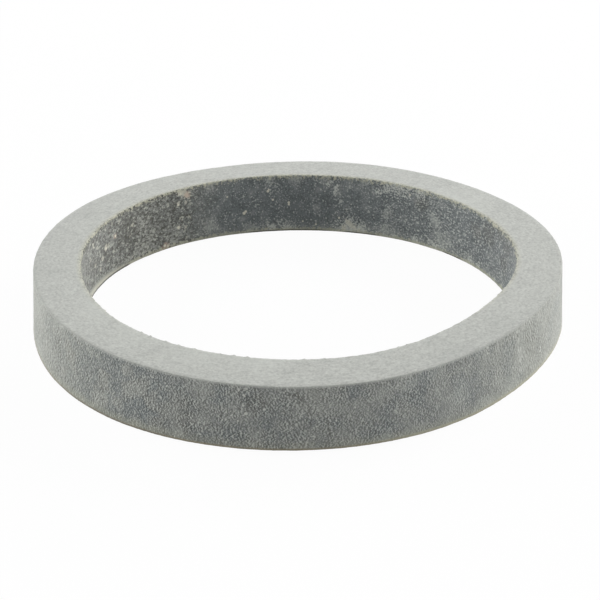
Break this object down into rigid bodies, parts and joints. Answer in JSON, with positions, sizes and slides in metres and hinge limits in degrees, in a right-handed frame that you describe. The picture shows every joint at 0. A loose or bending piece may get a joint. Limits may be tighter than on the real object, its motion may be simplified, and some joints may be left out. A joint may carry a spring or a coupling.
{
  "type": "slip joint washer",
  "caption": "Square-cut rubber ring that seals a waste tube inside a slip nut.",
  "frame": {"origin": "middle of the bore, on the flat face that the washer rests on", "axes": "+Z along the bore axis, up from the resting face; X and Y lie across the ring and are alike"},
  "size_m": [0.0464, 0.0464, 0.0057],
  "materials": {
    "rubber": "matte, dusted with talc"
  },
  "bodies": {
    "root": {"washer": "rubber"}
  },
  "joints": []
}
